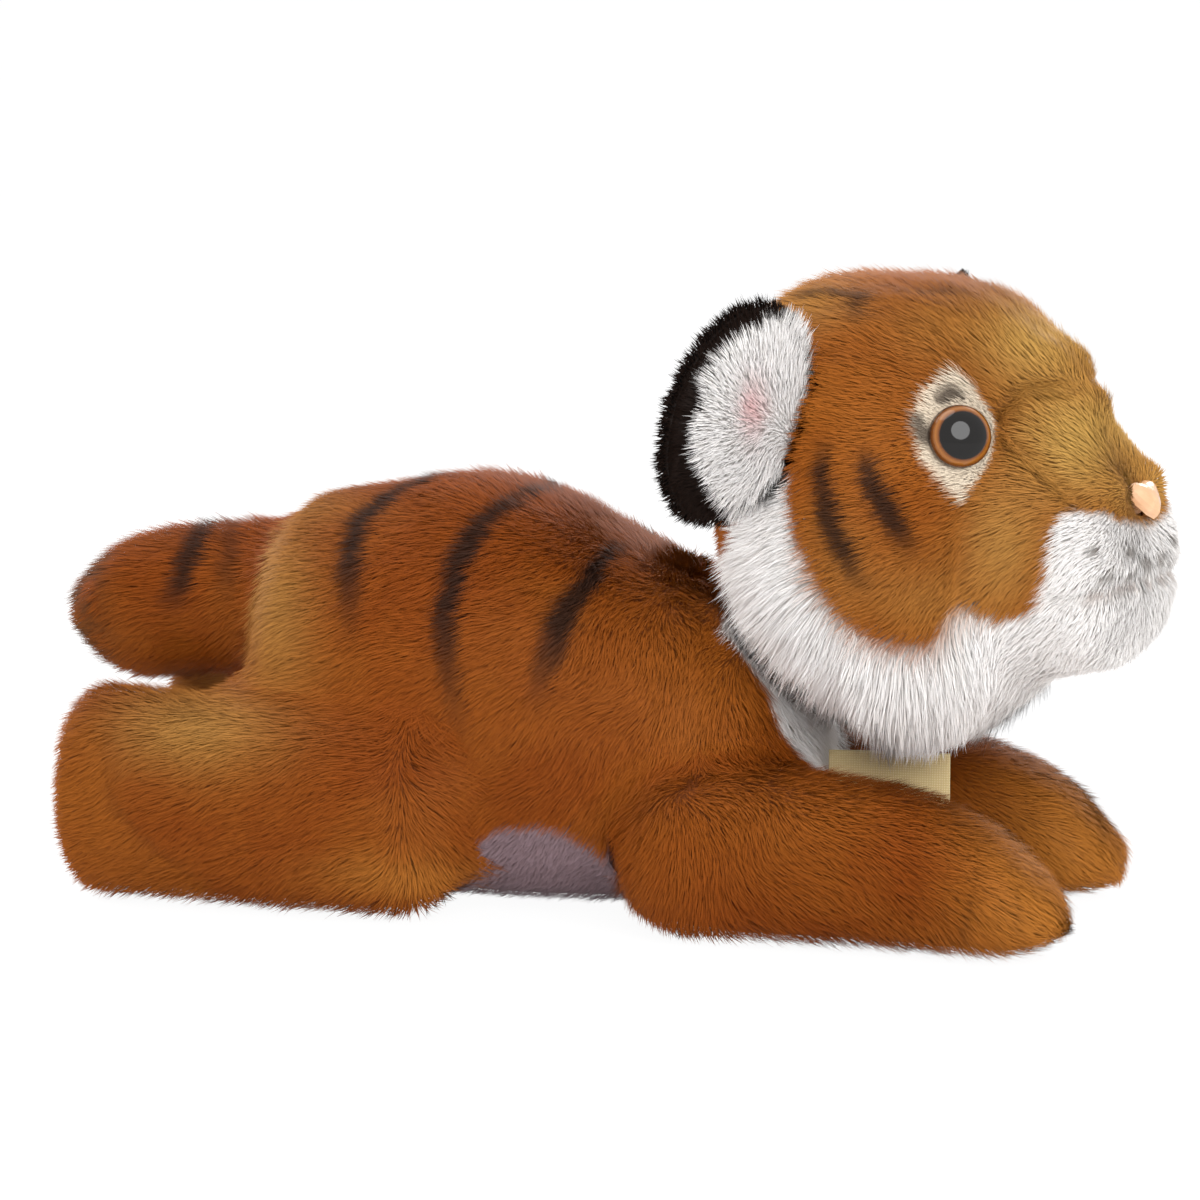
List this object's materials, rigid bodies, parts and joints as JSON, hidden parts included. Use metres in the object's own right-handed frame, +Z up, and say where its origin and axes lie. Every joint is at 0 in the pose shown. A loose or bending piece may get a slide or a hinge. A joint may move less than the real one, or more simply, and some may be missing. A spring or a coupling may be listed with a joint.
{
  "type": "plush tiger",
  "caption": "Stuffed tiger lying on its belly, legs stretched out, round head turned to its right, with a padded tail and sewn ears.",
  "frame": {"origin": "middle of the toy's footprint, on the plane that it lies on", "axes": "+X from tail to nose, +Y to the toy's left, +Z up"},
  "size_m": [0.2872, 0.1442, 0.1592],
  "materials": {
    "orange_plush": "short brushed pile",
    "white_plush": "long soft pile",
    "black_plush": "short brushed pile",
    "belly_plush": "short flat pile",
    "cream_plush": "short brushed pile",
    "polyester_fibre": "loose matt fibre",
    "pellet_cloth": "plain woven cloth",
    "eye_plastic": "clear gloss over amber and black",
    "nose_plastic": "soft gloss",
    "washer_plastic": "natural moulded",
    "label_ribbon": "woven ribbon"
  },
  "bodies": {
    "torso": {"torso_cover": "orange_plush", "belly_panel": "belly_plush", "chest_panel": "white_plush", "torso_filling": "polyester_fibre", "pellet_bag": "pellet_cloth", "label": "label_ribbon"},
    "head": {"head_cover": "orange_plush", "ruff_panel": "white_plush", "muzzle_panel": "white_plush", "head_filling": "polyester_fibre", "eye_left": "eye_plastic", "eye_right": "eye_plastic", "eye_patch_left": "cream_plush", "eye_patch_right": "cream_plush", "eye_washer_left": "washer_plastic", "eye_washer_right": "washer_plastic", "nose": "nose_plastic", "nose_washer": "washer_plastic"},
    "ear_left": {"ear_back_left": "black_plush", "ear_lining_left": "white_plush"},
    "ear_right": {"ear_back_right": "black_plush", "ear_lining_right": "white_plush"},
    "front_leg_left": {"front_leg_left_cover": "orange_plush", "front_leg_left_filling": "polyester_fibre"},
    "front_leg_right": {"front_leg_right_cover": "orange_plush", "front_leg_right_filling": "polyester_fibre"},
    "hind_leg_left": {"hind_leg_left_cover": "orange_plush", "hind_leg_left_filling": "polyester_fibre", "hind_sole_left": "orange_plush"},
    "hind_leg_right": {"hind_leg_right_cover": "orange_plush", "hind_leg_right_filling": "polyester_fibre", "hind_sole_right": "orange_plush"},
    "tail": {"tail_cover": "orange_plush", "tail_filling": "polyester_fibre"}
  },
  "joints": [
    {"name": "head_nod", "type": "hinge", "parent": "torso", "child": "head", "pos_m": [0.0804, -0.00756, 0.098], "axis": [0.2756, 0.9613, 0], "range_deg": [-12, 12], "stiffness_Nm_per_rad": 0.5},
    {"name": "ear_left_fold", "type": "hinge", "parent": "head", "child": "ear_left", "pos_m": [0.08154, 0.03633, 0.122], "axis": [0.1124, -0.4219, 0.8996], "range_deg": [-10, 10], "stiffness_Nm_per_rad": 0.01},
    {"name": "ear_right_fold", "type": "hinge", "parent": "head", "child": "ear_right", "pos_m": [0.05811, -0.04538, 0.122], "axis": [0.3189, 0.2983, 0.8996], "range_deg": [-10, 10], "stiffness_Nm_per_rad": 0.01},
    {"name": "front_leg_left_splay", "type": "hinge", "parent": "torso", "child": "front_leg_left", "pos_m": [0.0334, 0.02844, 0], "axis": [0, 0, 1], "range_deg": [0, 15], "stiffness_Nm_per_rad": 0.1},
    {"name": "front_leg_right_splay", "type": "hinge", "parent": "torso", "child": "front_leg_right", "pos_m": [0.0334, -0.04356, 0], "axis": [0, 0, 1], "range_deg": [-15, 0], "stiffness_Nm_per_rad": 0.1},
    {"name": "hind_leg_left_splay", "type": "hinge", "parent": "torso", "child": "hind_leg_left", "pos_m": [-0.0416, 0.02844, 0], "axis": [0, 0, 1], "range_deg": [-15, 0], "stiffness_Nm_per_rad": 0.1},
    {"name": "hind_leg_right_splay", "type": "hinge", "parent": "torso", "child": "hind_leg_right", "pos_m": [-0.0416, -0.04356, 0], "axis": [0, 0, 1], "range_deg": [0, 15], "stiffness_Nm_per_rad": 0.1},
    {"name": "tail_wag", "type": "hinge", "parent": "torso", "child": "tail", "pos_m": [-0.0816, -0.00756, 0.0525], "axis": [0, 0, 1], "range_deg": [-15, 15], "stiffness_Nm_per_rad": 0.05}
  ]
}
